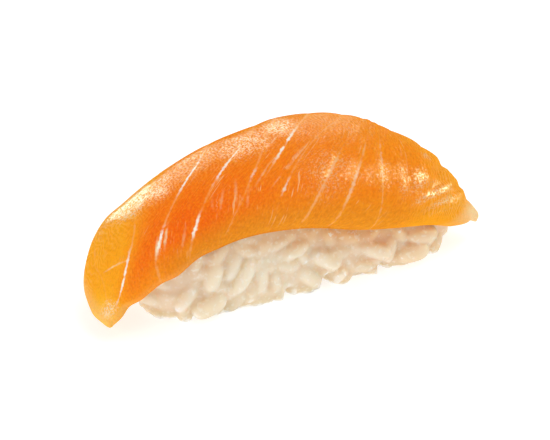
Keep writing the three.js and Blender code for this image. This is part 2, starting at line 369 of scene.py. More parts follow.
@dataclass(frozen=True)
class RiceFinish:
    """Cooked short-grain rice: cream white, translucent and slightly sticky."""

    pearl: Colour = (0.855, 0.765, 0.62)
    cream: Colour = (0.825, 0.71, 0.545)
    # Colour of the painted highlights on the grains' rounded edges.
    rim: Colour = (0.98, 0.95, 0.90)
    # Colour of the painted shade in creases and along the bottom.
    crease: Colour = (0.86, 0.70, 0.48)
    # Colour of the painted white glints on the grains.
    spark: Colour = (1.0, 0.98, 0.95)
    # Colour of the painted orange shade and bounce light from the slice.
    tint: Colour = (0.84, 0.49, 0.22)
    # Colour of the painted contact shadow at the foot of the block.
    foot: Colour = (0.70, 0.57, 0.40)
    clouds: Pattern = Pattern(300.0, 2.0)
    cloud_depth: float = 0.0003
    skin: Pattern = Pattern(1800.0, 2.0)
    skin_depth: float = 0.0001
    sparks: Pattern = Pattern(1300.0, 1.0)
    scatter: float = 0.9
    scatter_depth: float = 0.005
    scatter_tint: Colour = (1.0, 0.82, 0.63)
    roughness: float = 0.30
    gloss: float = 0.05
    wet: float = 0.2
    wet_roughness: float = 0.12

    def material(self) -> bpy.types.Material:
        """Builds the material.

        Returns:
            The material.
        """
        shader = Shader("cooked_rice")
        cloud = shader.noise(shader.place(), self.clouds)
        skin = shader.noise(shader.place(), self.skin)
        spark = shader.noise(shader.place(), self.sparks).above(0.58, 0.65)
        rim = shader["rim"]
        body = shader.layered(
            shader.mix(shader["grain_tone"], self.pearl, self.cream),
            (cloud.above(0.5, 0.8) * 0.35, self.cream),
            # Painted shade in the creases between grains and along the bottom.
            (shader["crease"] * 0.32, self.crease),
            # Painted contact shadow at the foot of the block.
            (shader["foot"] * 0.75, self.foot),
            # Painted highlights on the grains' rounded edges.
            (rim * 0.65, self.rim),
            # Painted orange shade and bounce light from the slice.
            (shader["near_salmon"] * 0.92, self.tint),
            # Painted white glints, most on the grains' edges.
            (spark * (rim * 0.7 + 0.28), self.spark),
        )
        return shader.finish({
            "Base Color": body,
            "Roughness": (skin - 0.5) * 0.2 + self.roughness,
            "Normal": shader.bumps((skin, self.skin_depth), (cloud, self.cloud_depth)),
            "Subsurface Weight": self.scatter,
            "Subsurface Scale": self.scatter_depth,
            "Subsurface Radius": self.scatter_tint,
            "Specular IOR Level": self.gloss,
            "Coat Weight": spark * self.wet,
            "Coat Roughness": self.wet_roughness,
        })


@dataclass(frozen=True)
class FloorFinish:
    """Plain pale board, faintly clouded."""

    colour: Colour = (0.62, 0.62, 0.62)
    cloud_colour: Colour = (0.60, 0.60, 0.60)
    clouds: Pattern = Pattern(3.0, 1.0)
    glow: float = 1.0

    def material(self) -> bpy.types.Material:
        """Builds the material.

        Returns:
            The material.
        """
        shader = Shader("pale_floor")
        cloud = shader.noise(shader.place(), self.clouds) * 0.05
        pale = shader.mix(cloud, self.colour, self.cloud_colour)
        return shader.finish({
            "Base Color": pale,
            "Roughness": 0.9,
            "Specular IOR Level": 0.1,
            "Emission Color": pale,
            "Emission Strength": self.glow,
        })


# ---- Helpers


def ease(value: Field | float, low: float, high: float) -> Field:
    """Rises smoothly from 0 at low to 1 at high."""
    share = np.clip((np.asarray(value, float) - low) / (high - low), 0, 1)
    return share * share * (3 - 2 * share)


def bell(value: Field, middle: float, half: float, power: int = 2) -> Field:
    """Gives a smooth peak of 1 at the middle, flatter on top with a higher power."""
    return np.exp(-(((value - middle) / half) ** power))


def through(values: Iterable[float], place: Field) -> Field:
    """Follows a smooth curve through evenly spaced values.

    Args:
        values: the values, from place -1 to place 1.
        place: where the curve is read.

    Returns:
        The curve's values.
    """
    keys = np.fromiter(values, float)
    last = len(keys) - 1
    keys = np.concatenate([[2 * keys[0] - keys[1]], keys, [2 * keys[-1] - keys[-2]]])
    t = np.clip((place + 1) / 2, 0, 1) * last
    i = np.minimum(t.astype(int), last - 1)
    f = t - i
    p0, p1, p2, p3 = keys[i], keys[i + 1], keys[i + 2], keys[i + 3]
    rise = (p2 - p0) * f
    curve = (2 * p0 - 5 * p1 + 4 * p2 - p3) * f**2
    return 0.5 * (2 * p1 + rise + curve + (3 * p1 - p0 - 3 * p2 + p3) * f**3)


def lumps(points: Field, size: float, seed: int) -> Field:
    """Reads smooth noise, from about -1 to 1 in lumps of a size, at points given one a row."""
    shift = Vector((7.3, 3.1, 5.7)) * seed
    return np.array([noise.noise(Vector(p) / size + shift) for p in points.tolist()])


def square_to(along: Field, across: Field) -> Field:
    """Gives the directions of length 1 that are square to both of two others, one a row."""
    out = np.cross(along, across)
    return out / np.linalg.norm(out, axis=1, keepdims=True)


def search_tree(points: Field) -> KDTree:
    """Sorts points for searches by distance.

    Args:
        points: the points, one a row.

    Returns:
        The tree, which numbers them in their order.
    """
    tree = KDTree(len(points))
    for number, point in enumerate(points.tolist()):
        tree.insert(point, number)
    tree.balance()
    return tree


def to_mesh(bm: bmesh.types.BMesh, name: str) -> bpy.types.Mesh:
    """Turns a bmesh into a mesh.

    Args:
        bm: the bmesh, which is freed.
        name: the mesh's name.

    Returns:
        The mesh.
    """
    mesh = bpy.data.meshes.new(name)
    bm.to_mesh(mesh)
    bm.free()
    return mesh


def closed_grid(columns: int, rows: int) -> bmesh.types.BMesh:
    """Makes a closed box of two grids from -1 to 1, at the heights 0 and -1.

    Args:
        columns: the grids' columns.
        rows: their rows.

    Returns:
        The box.
    """
    bm = bmesh.new()
    bmesh.ops.create_grid(bm, x_segments=columns, y_segments=rows, size=1)
    made = bmesh.ops.extrude_face_region(bm, geom=bm.faces[:], use_keep_orig=True)["geom"]
    bmesh.ops.translate(bm, verts=[v for v in made if isinstance(v, bmesh.types.BMVert)], vec=(0, 0, -1))
    return bm


def coordinates(mesh: bpy.types.Mesh) -> Field:
    """Reads a mesh's vertices.

    Args:
        mesh: the mesh.

    Returns:
        One vertex a row.
    """
    flat = np.empty(3 * len(mesh.vertices))
    mesh.vertices.foreach_get("co", flat)
    return flat.reshape(-1, 3)


def set_coordinates(mesh: bpy.types.Mesh, points: Field) -> None:
    """Moves a mesh's vertices to points that are given one a row."""
    mesh.vertices.foreach_set("co", np.ascontiguousarray(points, float).ravel())
    mesh.update()


def store(mesh: bpy.types.Mesh, layers: dict[str, Field]) -> None:
    """Stores numbers for the material to read, one a vertex in each layer."""
    for name, values in layers.items():
        made = mesh.attributes.new(name, "FLOAT", "POINT")
        made.data.foreach_set("value", np.ascontiguousarray(values, np.float32))


def piece(name: str, mesh: bpy.types.Mesh, material: bpy.types.Material) -> bpy.types.Object:
    """Puts a finished mesh in the scene.

    Args:
        name: the piece's name.
        mesh: its mesh, in metres.
        material: its finish.

    Returns:
        The object.
    """
    mesh.materials.append(material)
    mesh.polygons.foreach_set("use_smooth", np.ones(len(mesh.polygons), bool))
    made = bpy.data.objects.new(name, mesh)
    bpy.context.scene.collection.objects.link(made)
    LOG.info("%s: %d faces", name, len(mesh.polygons))
    return made


# ---- The slice


@dataclass(frozen=True)
class Zone:
    """A soft-edged part of the slice, and how strong it is.

    It comes in between the two places of a rise, goes out between those of a fall, and peaks at
    the first number of a bell, whose second is its half width.
    """

    share: float = 1.0
    a_rise: Pair | None = None
    a_fall: Pair | None = None
    a_bell: Pair | None = None
    b_rise: Pair | None = None
    b_fall: Pair | None = None
    b_bell: Pair | None = None

    def over(self, a: Field, b: Field) -> Field:
        """Gives the zone's strength.

        Args:
            a: places along the slice.
            b: places across it.

        Returns:
            The strength at each place.
        """
        shown = np.full(len(a), self.share)
        edges = ((a, self.a_rise, self.a_fall, self.a_bell), (b, self.b_rise, self.b_fall, self.b_bell))
        for place, rise, fall, peak in edges:
            if rise:
                shown *= ease(place, *rise)
            if fall:
                shown *= 1 - ease(place, *fall)
            if peak:
                shown *= bell(place, *peak)
        return shown


AMBER = (
    Zone(0.45, b_fall=(-0.98, -0.62)),
    Zone(0.25, a_rise=(0.0, 0.4)),
    Zone(0.7, a_rise=(0.45, 0.85)),
    Zone(0.35, b_rise=(-0.15, 0.7)),
)
RED = Zone(a_bell=(-0.46, 0.27), b_bell=(-0.62, 0.42))
# The lower front band, darkened with painted shade.
LOW_FRONT = Zone(a_rise=(-0.75, -0.5), a_fall=(0.4, 0.75), b_fall=(-0.98, -0.62))
GOLD = Zone(0.6, a_fall=(-0.95, -0.78), b_fall=(-0.6, -0.1))
FIBRE = Zone(a_bell=(-0.05, 0.32), b_rise=(-0.95, -0.75))
# Pale specks at the left tip: pale fat, and painted sheen.
PALE_SPECKED_TIP = Zone(a_bell=(-0.91, 0.05), b_bell=(-0.72, 0.16))
LIP = Zone(a_rise=(0.855, 0.955), b_bell=(-0.60, 0.25))
# Paler where the flesh is thin: painted light shining through it. The last zone is a painted pale sheen
# along the left shoulder's top.
THIN_EDGES = (
    LIP,
    Zone(0.25, a_fall=(-0.90, -0.80), b_fall=(-0.98, -0.84)),
    Zone(0.3, a_fall=(-0.98, -0.90)),
    Zone(0.1, a_fall=(-0.60, -0.40), b_fall=(-0.99, -0.90)),
    # Painted pale sheen along the left shoulder's top.
    Zone(0.4, a_fall=(-0.75, -0.58), b_rise=(0.33, 0.47), b_fall=(0.6, 0.8)),
)
# Where the contour lines show: partly the flesh's grain, partly painted glints and shade along ripples.
RIPPLED = (
    Zone(0.1),
    Zone(0.9, a_rise=(0.45, 0.75), b_rise=(-0.95, -0.8)),
    Zone(0.5, b_rise=(-0.35, 0.0)),
    Zone(0.1, a_fall=(-0.8, -0.55)),
)
CALM = (
    Zone(0.6, b_rise=(0.45, 0.7)),
    Zone(0.5, a_rise=(0.88, 0.97)),
    Zone(0.75, a_rise=(0.5, 0.8), b_rise=(-0.45, -0.05)),
)
DRY = Zone(0.85, b_rise=(0.22, 0.42), b_fall=(0.6, 0.7))
LEANING = Zone(0.4, a_fall=(0.1, 0.6))
SHEARED = Zone(a_fall=(0.05, 0.6))
SWOLLEN = (Zone(0.4), Zone(0.8, a_rise=(0.0, 0.35)))
SMOOTH = Zone(0.7, b_rise=(-0.2, 0.3))
STEPPED = Zone(a_rise=(0.45, 0.75))


@dataclass(frozen=True)
class Station:
    """A cross-section of the slice: a point under its middle line, its thickness and wraps."""

    x: float
    y: float
    z: float
    thick: float
    front: float
    back: float


@dataclass(frozen=True)
class Tab:
    """A stretch of the slice's edge that stands out, or in where the reach is negative."""

    place: float
    width: float
    reach: float


@dataclass(frozen=True)
class SliceEnd:
    """How an end of the slice is cut: slanted, rounded and narrowed, with its tabs in mm."""

    slant: float
    round: float
    narrow: float
    tabs: tuple[Tab, ...]


@dataclass(frozen=True)
class FatLine:
    """A line of white fat that crosses the slice.

    at, lean and bow give its place along the slice as a curve of the place across it. It fades out
    at low and fades to rest at high. shine lists the middle, half length and strength of each wet
    stretch that is painted with a near-white glint.
    """

    at: float
    lean: float
    bow: float
    low: float = -1.0
    high: float = 1.0
    share: float = 0.5
    shine: tuple[tuple[float, float, float], ...] = ()
    rest: float = 0.35

    def place(self, b: Field) -> Field:
        """Gives the line's places along the slice for places across it."""
        reach = np.where(b > 0, 0.45 * np.tanh(b / 0.45), b) + 0.5
        return self.at + self.lean * reach + self.bow * np.minimum(reach, 0.5) ** 2

    def shares(self, b: Field) -> tuple[Field, Field]:
        """Gives how plainly the line shows, and how brightly it shines.

        Args:
            b: places across the slice.

        Returns:
            Both shares.
        """
        soft = 0.08
        seen = ease(b, self.low - soft, self.low + soft)
        seen *= 1 - (1 - self.rest) * ease(b, self.high - soft, self.high + soft)
        seen *= 1 - ease(b, 0.85, 0.97)
        bright = np.zeros_like(b)
        for middle, half, strength in self.shine:
            bright = np.maximum(bright, strength * bell(b, middle, half, 4))
        return self.share * seen, bright


@dataclass(frozen=True)
class Fold:
    """A low fold of the surface, or a furrow, along a curve through three places.

    A place is a pair, along the slice and across it. The height is negative in a furrow.
    """

    start: Pair
    middle: Pair
    end: Pair
    height: float
    width: float

    def curve(self) -> tuple[Field, Field]:
        """Follows the fold.

        Returns:
            Its places along the slice, and those across it.
        """
        t = np.linspace(0, 1, 24)
        start, middle, end = (np.array(p)[:, None] for p in (self.start, self.middle, self.end))
        return start * (1 - t) * (1 - 2 * t) + middle * 4 * t * (1 - t) + end * t * (2 * t - 1)


@dataclass(frozen=True)
class Film:
    """A patch where the wet film is thick: its middle along and across, half sizes and share.

    The next number is how strongly its painted sheen specks show, and lean how far across it moves for each
    unit along.
    """

    a: float
    b: float
    half_a: float
    half_b: float
    share: float
    pale_fat_and_painted_sheen: float = 0.5
    lean: float = 0.0


FAT_LINES = tuple(FatLine(*row) for row in (
    (-0.865, 0.20, -0.30, -0.90, 0.8, 0.15),
    (-0.706, 0.462, -0.445, -0.80, 0.5, 0.42, ((-0.60, 0.17, 1.0),)),
    (-0.543, 0.376, 0.172, -0.97, 0.9, 0.50, ((-0.08, 0.13, 1.0), (-0.56, 0.10, 1.0))),
    (-0.379, 0.430, 0.189, -0.92, 0.9, 0.50, ((-0.20, 0.13, 0.9), (-0.66, 0.09, 1.0))),
    (-0.204, 0.397, -0.073, -0.92, 0.8, 0.42, ((-0.42, 0.05, 0.4),)),
    (-0.150, 0.511, 0.0, -0.45, 0.9, 0.55, ((-0.20, 0.14, 1.0),)),
    (-0.037, 0.454, 0.328, -0.76, 0.9, 0.42, ((-0.60, 0.06, 0.6),)),
    (0.132, 0.432, 0.118, -0.97, -0.35, 0.74, ((-0.60, 0.20, 0.10),), 0.1),
    (0.249, 0.307, 0.131, -0.97, -0.30, 0.74, ((-0.62, 0.16, 0.22),), 0.2),
    (0.361, 0.065, 0.302, -0.97, -0.25, 0.62, ((-0.42, 0.14, 0.2),), 0.2),
    (0.495, 0.03, 0.10, -0.65, -0.1, 0.35),
    (0.640, 0.06, 0.0, -0.2, 0.8, 0.30),
    (0.780, 0.04, 0.0, -0.1, 0.8, 0.20),
))
STROKES = tuple(FatLine(at, lean, 0, *ends, share, rest=0) for at, lean, *ends, share in (
    (-0.690, -0.50, -0.44, -0.30, 0.8), (-0.523, 0.28, -0.64, -0.50, 1.0),
    (-0.560, 0.28, -0.70, -0.56, 0.9), (-0.254, 0.17, -0.60, -0.45, 0.35),
    (-0.206, 0.20, -0.66, -0.58, 0.35), (-0.305, 0.27, -0.62, -0.49, 0.35),
    (-0.345, 0.20, -0.56, -0.50, 0.3), (-0.081, 0.58, -0.55, -0.34, 0.45),
    (-0.075, 0.63, -0.46, -0.28, 0.5), (-0.168, 0.50, -0.50, -0.36, 0.35),
    (-0.440, 0.30, -0.78, -0.64, 0.3),
))
FOLDS = tuple(Fold(*row) for row in (
    ((0.47, -0.33), (0.49, -0.48), (0.52, -0.65), -0.45, 0.75),
    ((0.55, -0.28), (0.57, -0.42), (0.58, -0.53), 0.50, 2.0),
    ((0.52, -0.65), (0.61, -0.62), (0.72, -0.44), -0.40, 0.7),
    ((0.54, -0.70), (0.63, -0.68), (0.74, -0.53), 0.45, 0.9),
    ((0.56, -0.77), (0.65, -0.78), (0.77, -0.68), -0.30, 0.7),
    ((0.68, -0.83), (0.75, -0.78), (0.83, -0.66), 0.25, 0.8),
    ((0.665, -0.42), (0.715, -0.30), (0.86, 0.12), -0.85, 0.9),
    ((0.72, -0.44), (0.77, -0.34), (0.89, 0.0), 0.15, 1.0),
    ((0.78, -0.54), (0.83, -0.40), (0.97, -0.1), -0.9, 0.8),
    ((0.84, -0.50), (0.87, -0.38), (0.89, -0.1), 0.5, 0.9),
    ((0.90, -0.50), (0.93, -0.42), (0.96, -0.3), -0.5, 0.6),
    ((0.10, 0.30), (0.25, 0.27), (0.42, 0.05), 0.6, 3.0),
    ((-0.70, 0.40), (-0.86, 0.44), (-0.97, 0.35), 0.6, 3.0),
    ((-0.78, -0.05), (-0.74, -0.22), (-0.70, -0.40), 0.20, 1.2),
    ((-0.86, -0.20), (-0.84, -0.45), (-0.86, -0.70), -0.18, 1.3),
))
# Patches of thick wet film, which also carry the painted sheen specks.
FILMS = tuple(Film(*row) for row in (
    (-0.57, 0.20, 0.15, 0.25, 1.3, 1.0, -0.9), (-0.32, 0.06, 0.16, 0.22, 0.62, 0.6),
    (-0.42, -0.03, 0.09, 0.14, 0.4), (-0.13, -0.03, 0.14, 0.20, 0.75, 0.7),
    (0.04, 0.03, 0.09, 0.15, 0.8, 0.8), (0.20, -0.08, 0.20, 0.28, 0.35, 0.3),
    (0.12, 0.33, 0.12, 0.13, 0.4), (0.10, -0.53, 0.11, 0.20, 0.6, 0.6),
    (0.21, -0.52, 0.05, 0.12, 0.5), (0.29, -0.55, 0.04, 0.09, 0.35, 0.35),
    (0.37, -0.54, 0.05, 0.12, 0.6, 0.6), (0.47, -0.57, 0.05, 0.14, 0.6, 0.7),
    (0.55, -0.56, 0.05, 0.09, 0.8, 0.8), (0.65, -0.56, 0.05, 0.06, 0.6),
    (0.65, -0.64, 0.10, 0.05, 1.0, 0.9, 0.94), (0.74, -0.68, 0.09, 0.045, 0.9, 0.8, 1.08),
    (0.63, -0.27, 0.04, 0.04, 0.8, 0.5, 1.1), (0.77, -0.77, 0.08, 0.03, 0.4, 0.3, 0.8),
    (0.79, -0.62, 0.09, 0.13, 0.4), (-0.92, -0.74, 0.06, 0.16, 1.0, 0.85),
    (-0.45, 0.72, 0.22, 0.16, 0.6), (0.05, 0.75, 0.20, 0.14, 0.5, 0.4),
    (0.50, 0.72, 0.18, 0.16, 0.6),
))


@dataclass(frozen=True)
class Skin:
    """The vertices of the slice's mesh, with their relief and what the finish reads.

    a and b are their places, up is 0 underneath and 1 on top, and at_side marks those on the front
    or back edge. under, along and across are the form's underside there and its derivatives. outer
    is the distance, in millimetres, that stands for the one to a line beyond the last.
    """

    form: "SalmonSlice"
    mesh: bpy.types.Mesh
    a: Field
    b: Field
    up: Field
    at_side: Field
    under: Field
    along: Field
    across: Field
    outer: float = 6.0
    swollen: float = 0.08
    swell: float = 0.28
    step: float = 0.75
    groove: float = 0.08
    groove_width: float = 0.45
    lump: float = 0.16
    lump_sizes: Pair = (9.0, 4.0)
    edge_roll: float = 0.45
    half_girth: float = 22.0
    hub: Pair = (0.93, -0.45)
    ring: float = 0.65
    film_edge: Pair = (0.3, 1.5)
    film_lumps: float = 2.6

    def steps(self) -> tuple[Field, Field]:
        """Gives the millimetres for each unit of place, along and across."""
        return np.linalg.norm(self.along, axis=1), np.linalg.norm(self.across, axis=1)

    def nearest(self, lines: tuple[FatLine, ...], least: float = -1.0) -> tuple[Field, ...]:
        """Finds each vertex's nearest line.

        Args:
            lines: the lines.
            least: how plainly a line has to show to count.

        Returns:
            The distances to all lines, the distance to the nearest, and how plainly that one shows
            and shines.
        """
        along, across = self.steps()
        stretch = 1 / np.sqrt(1 / along**2 + (LEANING.over(self.a, self.b) / across) ** 2)
        gaps = np.stack([(self.a - line.place(self.b)) * stretch for line in lines])
        shares, shines = (np.stack(s) for s in zip(*(line.shares(self.b) for line in lines)))
        pick = np.argmin(np.where(shares > least, np.abs(gaps), np.inf), 0), np.arange(len(self.a))
        return gaps, gaps[pick], shares[pick], shines[pick]

    @cached_property
    def flakes(self) -> dict[str, Field]:
        """Places each vertex among the fat lines.

        Returns:
            The distance to the nearest line, how plainly it shows and shines, the part of the way
            from the line behind to the one ahead, their distance, and a number that is whole on
            each line.
        """
        gaps, gap, share, shine = self.nearest(FAT_LINES)
        behind = np.where(gaps > 0, gaps, np.inf).min(0)
        ahead = np.where(gaps <= 0, -gaps, np.inf).min(0)
        behind, ahead = (np.where(np.isinf(d), self.outer, d) for d in (behind, ahead))
        part = behind / (behind + ahead)
        return {
            "gap": gap, "share": share, "shine": shine, "part": part, "span": behind + ahead,
            "number": (gaps > 0).sum(0) + part,
        }

    def folded(self) -> Field:
        """Gives the height of the folds.

        Returns:
            The heights.
        """
        height = np.zeros(len(self.a))
        for fold in FOLDS:
            near = np.full(len(self.a), np.inf)
            for point in self.form.underside(*fold.curve()):
                near = np.minimum(near, ((self.under - point) ** 2).sum(1))
            height += fold.height * np.exp(-near / fold.width**2)
        return height

    def relief(self) -> Field:
        """Gives how far the top stands off its even thickness.

        Returns:
            The heights, which fade out at the edges.
        """
        a, b, flake = self.a, self.b, self.flakes
        part = flake["part"]
        swell = sum(zone.over(a, b) for zone in SWOLLEN) * (1 - SMOOTH.over(a, b))
        relief = self.swell * swell * 4 * part * (1 - part)
        relief += self.step * STEPPED.over(a, b) * (part * (1 - part**8) - 0.4)
        relief -= self.groove * bell(flake["gap"], 0, self.groove_width) * flake["share"]
        large, small = self.lump_sizes
        relief += self.lump * (lumps(self.under, large, 1) + 0.4 * lumps(self.under, small, 2))
        relief += self.folded() + self.swollen
        return relief * (1 - b**4) * (1 - a**6)

    def rolled(self, depth: Field) -> Field:
        """Gives how far the vertices of the edge bulge outwards.

        Args:
            depth: the flesh's depth over each vertex.

        Returns:
            The moves, one a row.
        """
        up = self.up
        bulge = np.sqrt(np.clip(1 - (2 * up - 1) ** 2, 0, 1)) * depth * self.edge_roll
        bulge *= (up > 0.01) & (up < 0.99)
        long_step, cross_step = self.steps()
        sideways = self.across * (np.sign(self.b) / cross_step)[:, None]
        endways = self.along * (np.sign(self.a) / long_step)[:, None]
        return np.where(self.at_side[:, None], sideways, endways) * bulge[:, None]

    def wetted(self) -> tuple[Field, Field]:
        """Spreads the wet film.

        Returns:
            How thick it is, and how strongly its painted sheen specks show.
        """
        film, pale_fat_and_painted_sheen = np.zeros_like(self.a), np.zeros_like(self.a)
        uneven = 0.35 * lumps(self.under, self.film_lumps, 3)
        for patch in FILMS:
            along = self.a - patch.a
            aside = self.b - patch.b - patch.lean * along
            away = np.hypot(along / patch.half_a, aside / patch.half_b) + uneven
            shown = patch.share * (1 - ease(away, *self.film_edge)) * (1 - DRY.over(self.a, self.b))
            film = np.maximum(film, shown)
            pale_fat_and_painted_sheen = np.maximum(pale_fat_and_painted_sheen, patch.pale_fat_and_painted_sheen * shown)
        return film, pale_fat_and_painted_sheen

    def paint(self) -> None:
        """Stores what the finish reads: shares from 0 to 1, and distances."""
        a, b, top, flake = self.a, self.b, self.up > 0.5, self.flakes
        film, pale_fat_and_painted_sheen = self.wetted()
        left_of_line = ease(FAT_LINES[1].place(b) - a, -0.12, 0.10)
        ripple = sum(zone.over(a, b) for zone in RIPPLED) + 0.5 * film
        for zone in CALM:
            ripple *= 1 - zone.over(a, b)
        _, stroke_gap, stroke_share, _ = self.nearest(STROKES, 0.01)
        shares = {
            "amber": sum(zone.over(a, b) for zone in AMBER) + 1.1 * left_of_line + 0.5 * (self.up < 0.5),
            "red": RED.over(a, b),
            # Painted shade on the lower front band.
            "low_front": LOW_FRONT.over(a, b),
            "gold": GOLD.over(a, b),
            # Painted light through the thin edges, and painted sheen along the left shoulder's top.
            "lip": np.max([zone.over(a, b) for zone in THIN_EDGES], axis=0),
            "fibre": (0.25 + FIBRE.over(a, b)) * top,
            # Contour lines: partly grain, partly painted glints and shade.
            "ripple": ripple * top,
            "film": film * top,
            # Share of the painted sheen specks: in the wet film, at the left tip and at the lip.
            "pale_fat_and_painted_sheen": 0.3 * PALE_SPECKED_TIP.over(a, b) + 0.4 * LIP.over(a, b) + pale_fat_and_painted_sheen,
            "fat_share": flake["share"] * top,
            # Where the fat lines carry painted glints.
            "fat_shine": flake["shine"] * top,
            "stroke_share": stroke_share * (1 - ease(np.abs(stroke_gap), 0.5, 0.9)),
        }
        store(self.mesh, {name: np.clip(share, 0, 1) for name, share in shares.items()})
        hub = self.form.underside(*(np.array([place]) for place in self.hub))
        store(self.mesh, {
            "arc": np.linalg.norm(self.under - hub, axis=1) / self.ring,
            "flake": flake["number"],
            "flake_span": flake["span"],
            "stroke_gap": stroke_gap,
        })

    def unroll(self) -> None:
        """Gives the slice a UV map in metres whose V follows the fat lines."""
        shear = 0.25 * self.b + 0.35 * np.clip(self.b + 0.5, 0, 0.5)
        u = (self.a - shear * SHEARED.over(self.a, self.b)) * self.form.half_spine
        flat = np.stack([u, self.b * self.half_girth], -1) * MM
        corners = np.empty(len(self.mesh.loops), int)
        self.mesh.loops.foreach_get("vertex_index", corners)
        made = self.mesh.uv_layers.new(name="flakes")
        made.data.foreach_set("uv", flat[corners].ravel())


@dataclass(frozen=True)
class SalmonSlice:
    """The slice: an arch carried along a bowed spine, thin at every edge."""

    stations: tuple[Station, ...] = tuple(Station(*row) for row in (
        (-41.5, -1.0, 4.7, 3.2, 62, 70),
        (-32.6, -0.6, 14.9, 4.4, 61, 72),
        (-17.8, -0.2, 21.9, 5.4, 63, 74),
        (-1.8, 0.2, 23.7, 7.0, 72, 74),
        (13.7, 0.4, 21.7, 7.6, 82, 74),
        (29.1, 0.5, 15.8, 5.9, 83, 72),
        (41.9, 0.7, 5.5, 4.1, 83, 70),
    ))
    half_width: float = 11.6
    height: float = 11.8
    end_width: float = 0.9
    end_height: float = 0.4
    edge: float = 0.15
    left: SliceEnd = SliceEnd(5.6, 0.06, 0.21, (Tab(0.25, 0.35, 0.5), Tab(-0.75, 0.35, -1.3)))
    right: SliceEnd = SliceEnd(1.7, 0.17, 0.13, (Tab(-0.55, 0.07, 2.2), Tab(-0.34, 0.14, -2.4)))
    nicks: tuple[Tab, ...] = (
        Tab(-0.88, 0.045, -0.075), Tab(-0.61, 0.055, 0.045), Tab(-0.49, 0.05, -0.02)
    )
    nicked: Pair = (0.8, 1.0)
    tabbed: Pair = (0.85, 1.0)
    half_spine: float = 47.3
    nudge: float = 1e-3
    columns: int = 290
    rows: int = 124
    rim_rows: int = 5

    def read(self, name: str, place: Field) -> Field:
        """Reads one of the stations' numbers at places along the slice."""
        return through((getattr(s, name) for s in self.stations), place)

    def at_end(self, name: str, a: Field) -> Field:
        """Reads one of the numbers of the end that each place is nearer to."""
        return np.where(a < 0, getattr(self.left, name), getattr(self.right, name))

    def underside(self, a: Field, b: Field) -> Field:
        """Gives points of the slice's underside.

        Args:
            a: places along the slice.
            b: places across it.

        Returns:
            The points, one a row.
        """
        across = b * (1 - self.at_end("narrow", a) * a**4)
        for nick in self.nicks:
            across = across - nick.reach * bell(a, nick.place, nick.width) * ease(-b, *self.nicked)
        slant = -np.sign(a) * self.at_end("slant", a) * across * a**2
        for way, end in ((-1, self.left), (1, self.right)):
            for tab in end.tabs:
                reach = way * tab.reach * ease(way * a, *self.tabbed)
                slant = slant + reach * bell(b, tab.place, tab.width)
        place = a * (1 - self.at_end("round", a) * b**4) + slant / self.half_spine
        inside = np.clip(place, -1, 1)
        beyond = place - inside
        before = np.maximum(inside - self.nudge, -1)
        after = np.minimum(inside + self.nudge, 1)
        run = (self.read("x", after) - self.read("x", before)) / (after - before)
        rise = (self.read("z", after) - self.read("z", before)) / (after - before)
        length = np.hypot(run, rise)
        wrap = np.where(across < 0, self.read("front", inside), self.read("back", inside))
        wrap = np.radians(wrap) * across
        taper = np.abs(inside) ** 3
        side = self.half_width * (1 - (1 - self.end_width) * taper) * np.sin(wrap)
        drop = self.height * (1 - (1 - self.end_height) * taper) * (1 - np.cos(wrap))
        x = self.read("x", inside) + run * beyond + rise / length * drop
        z = self.read("z", inside) + rise * beyond - run / length * drop
        return np.stack([x, self.read("y", inside) + side, z], -1)

    def tangents(self, a: Field, b: Field) -> tuple[Field, Field]:
        """Gives the underside's derivatives along and across, one a row."""
        ways = [(a + da, b + db, a - da, b - db) for da, db in ((self.nudge, 0), (0, self.nudge))]
        return tuple((self.underside(*w[:2]) - self.underside(*w[2:])) / (2 * self.nudge) for w in ways)

    def thickness(self, a: Field, b: Field) -> Field:
        """Gives the depth of flesh over places of the underside."""
        round_off = np.sqrt(np.clip(1 - a**6, 0, 1)) * np.sqrt(np.clip(1 - b**4, 0, 1))
        return self.read("thick", a) * (self.edge + (1 - self.edge) * round_off)

    def shell(self) -> Skin:
        """Makes the closed grid that becomes the slice.

        Returns:
            The grid's vertices.
        """
        bm = closed_grid(self.columns, self.rows)
        rim = [e for e in bm.edges if abs(e.verts[0].co.z - e.verts[1].co.z) > 0.5]
        bmesh.ops.subdivide_edges(bm, edges=rim, cuts=self.rim_rows)
        bmesh.ops.recalc_face_normals(bm, faces=bm.faces)
        mesh = to_mesh(bm, "salmon")
        u, v, depth = coordinates(mesh).T
        a, b = 0.5 * (u + np.sin(u * math.pi / 2)), np.sin(v * math.pi / 2)
        at_side, under = np.abs(v) > 0.999, self.underside(a, b)
        return Skin(self, mesh, a, b, depth + 1, at_side, under, *self.tangents(a, b))

    def build(self, material: bpy.types.Material) -> bpy.types.Object:
        """Builds and dresses the slice.

        Args:
            material: its finish.

        Returns:
            The piece.
        """
        skin = self.shell()
        depth = self.thickness(skin.a, skin.b) + skin.relief()
        points = skin.under + square_to(skin.along, skin.across) * (depth * skin.up)[:, None]
        set_coordinates(skin.mesh, (points + skin.rolled(depth)) * MM)
        skin.paint()
        skin.unroll()
        return piece("salmon_fillet", skin.mesh, material)


